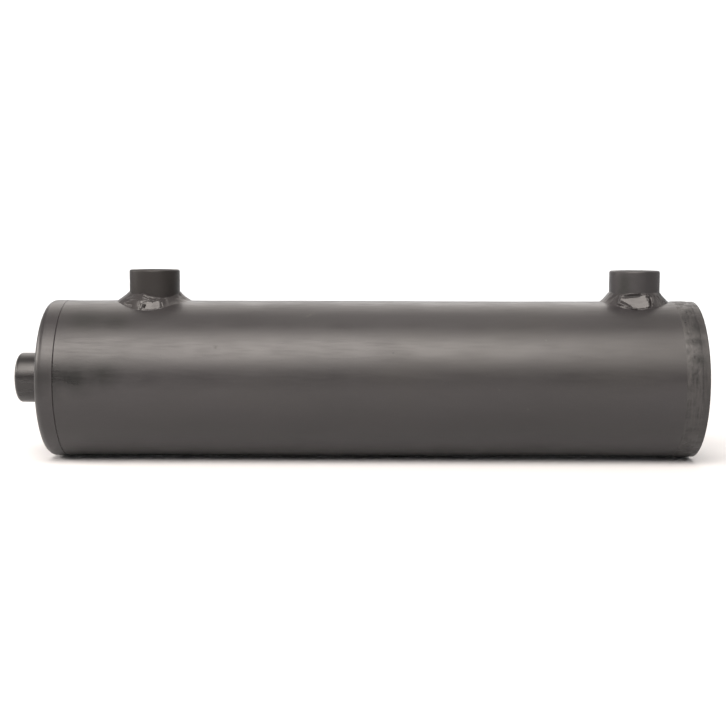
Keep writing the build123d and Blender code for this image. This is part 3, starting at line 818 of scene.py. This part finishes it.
RIGHT_MARKS = [
    ((-10.0, 0.86), (0.6, 0.98), 0.34, 0.80), ((-11.9, 0.70), (0.4, 0.88), 0.44, -0.60),
    ((-12.6, 0.45), (-4.4, 0.12), 0.36, -0.60),
    ((-4.4, 0.12), (0.5, 0.06), 0.30, -0.40), ((-12.8, 0.24), (-3.5, 0.05), 1.00, 0.80),
    ((-3.5, 0.05), (6.0, 0.03), 0.60, 0.30), ((5.0, 0.80), (5.4, 0.52), 0.36, -0.55),
    ((4.6, 0.78), (6.2, 0.76), 0.34, -0.45), ((5.6, 0.66), (6.0, 0.52), 0.62, 0.65),
    ((7.2, 0.68), (7.9, 0.24), 0.75, -1.70), ((8.9, 0.66), (9.3, 0.36), 0.90, 0.55),
    ((13.9, 0.72), (17.7, 0.28), 0.60, -0.30),
    ((11.8, 0.80), (15.0, 0.45), 0.45, 0.25),
]

made_pieces = [
    (make_shell(), "tank", "shell_coating", shell_paint, "shell_tube"),
    (make_base_weld(), "tank", "weld_coating", ground_paint, "base_weld"),
    (make_base_cap(), "tank", "shell_coating", base_paint, "base_cap"),
    (make_port_boss("left_port_turned", "left_port_boss", PORT_PASSAGE, None),
     "tank", "boss_coating", dark_boss_paint, "left_port_boss"),
    (make_port_boss("right_port_turned", "right_port_boss", DROP_TUBE_BORE,
                    (DROP_TUBE_SOCKET, DROP_TUBE_STOP)),
     "tank", "boss_coating", boss_paint, "right_port_boss"),
    (make_port_weld("left_weld_bead", "left_port_weld", boss_places[0], 41,
                    LEFT_SECTIONS, LEFT_FLATS, LEFT_MARKS),
     "tank", "weld_coating", weld_paint, "left_port_weld"),
    (make_port_weld("right_weld_bead", "right_port_weld", boss_places[1], 67,
                    RIGHT_SECTIONS, RIGHT_FLATS, RIGHT_MARKS),
     "tank", "weld_coating", weld_paint, "right_port_weld"),
    (make_head(), "end_head_assembly", "shell_coating", head_paint, "end_head"),
    (make_end_boss(), "end_head_assembly", "boss_coating", end_boss_paint, "end_port_boss"),
    (make_spring(), "end_head_assembly", "spring_wire", spring_steel, "bypass_spring"),
]
for piece, body, finish, surface, replaced in made_pieces:
    dress(piece, surface)
    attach(piece, body)
    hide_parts(replaced)
    if replaced == "bypass_spring":
        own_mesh(piece)

kept_nodes = {
    "end_port_weld": bare_weld, "baffle_tacks": bare_weld, "drop_tube_weld": bare_weld,
    "baffle_plate": bare_plate, "return_drop_tube": bare_plate, "head_oring": seal_rubber,
    "strainer_collar": collar_metal, "strainer_top_cap": plated, "strainer_end_cap": plated,
    "strainer_core_tube": plated, "strainer_mesh": wire_mesh, "bypass_cage": plated,
    "bypass_poppet": nylon,
}
for name, surface in kept_nodes.items():
    dress(frame["nodes"][name], surface)


# ---- floor, light and camera ----
WARM_WHITE = (1.0, 0.93, 0.87)
COOL_WHITE = (0.97, 1.0, 1.0)


def make_stage():
    """A pale floor that curves up into a pale backdrop."""
    ground = cad_box[0].z - 0.5 * MM
    front, bend_start, bend_radius, wall_height, half_width = -2.6, 1.4, 1.2, 3.2, 3.4
    profile = [(front, ground), (bend_start, ground)]
    for step in range(1, 16):
        a = math.radians(6 * step)
        profile.append((bend_start + bend_radius * math.sin(a),
                        ground + bend_radius - bend_radius * math.cos(a)))
    profile += [(bend_start + bend_radius, ground + wall_height)]
    vertices = [(side, y, z) for y, z in profile for side in (-half_width, half_width)]
    faces = [(2 * i, 2 * i + 1, 2 * i + 3, 2 * i + 2) for i in range(len(profile) - 1)]
    stage = joined("studio_sweep", np.array(vertices), faces)
    surface, shader = material("studio_paper", (0.7, 0.7, 0.7), 0.85)
    shader.inputs["Specular IOR Level"].default_value = 0.1
    surface.node_tree.links.new(
        tinted(surface, blotches(surface, 0.5, 2.0), (0.69, 0.69, 0.70), (0.71, 0.71, 0.72)),
        shader.inputs["Base Color"])
    dress(stage, surface)


def softbox(name, beam, size, power, colour=WARM_WHITE):
    """A rectangular area light that the camera doesn't see. The beam is its place and its aim."""
    place, aim = beam
    light = bpy.data.lights.new(name, "AREA")
    light.shape = "RECTANGLE"
    light.size, light.size_y = size
    light.energy = power
    light.color = colour
    lamp = bpy.data.objects.new(name, light)
    lamp.location = place
    lamp.rotation_euler = (Vector(aim) - Vector(place)).to_track_quat("-Z", "Y").to_euler()
    lamp.visible_camera = False
    bpy.context.scene.collection.objects.link(lamp)


def overhead(elevation, x=0.0, distance=1.6):
    """A beam from an elevation over the front horizon to the tube's axis, at a place x along it."""
    e = math.radians(elevation)
    return (x, -distance * math.cos(e), distance * math.sin(e)), (x, 0, 0)


make_stage()
softbox("key_left", overhead(48.5, -0.31), (1.22, 0.80), 27)
softbox("key_right", overhead(48.5, 0.58), (0.56, 0.80), 6)
softbox("key_low", overhead(27.5), (1.8, 0.40), 6.8)
softbox("key_high", overhead(70), (1.8, 0.45), 9)
softbox("top", overhead(98, 0.12), (0.8, 0.40), 1.6)
softbox("back", overhead(134, -0.10), (1.7, 1.25), 10.8)
softbox("side", ((-1.55, 0.05, 0.48), (-0.25, 0, 0)), (0.9, 0.5), 9)
softbox("quarter", ((-1.375, -0.65, 0.75), (-0.25, 0, 0)), (1.4, 0.4), 8)
softbox("right", ((1.7, 0.35, 0.75), (0.2, 0, 0)), (0.9, 0.7), 3)
softbox("wash", ((0, 1.2, 1.3), (0, 2.6, 0.35)), (2.6, 0.35), 33, COOL_WHITE)

world = bpy.data.worlds.new("studio")
world.use_nodes = True
sky = world.node_tree.nodes["Background"]
sky.inputs["Color"].default_value = (1, 1, 1, 1)
sky.inputs["Strength"].default_value = 0.3
bpy.context.scene.world = world
bpy.context.scene.view_settings.view_transform = "Standard"

# The camera was fitted to the ellipses of the tube's two ends in the photo.
lens = bpy.data.cameras.new("camera")
lens.lens = 63.97
lens.sensor_width = 36.0
camera = bpy.data.objects.new("camera", lens)
camera.location = (-5.06 * MM, -947.5 * MM, 99.6 * MM)
pitch, yaw, roll = math.radians(5.326), math.radians(-0.064), math.radians(0.154)
aimed = Euler((math.pi / 2 - pitch, 0, -yaw), "XYZ").to_quaternion()
camera.rotation_euler = (aimed @ Quaternion((0, 0, 1), roll)).to_euler()
bpy.context.scene.collection.objects.link(camera)
bpy.context.scene.camera = camera
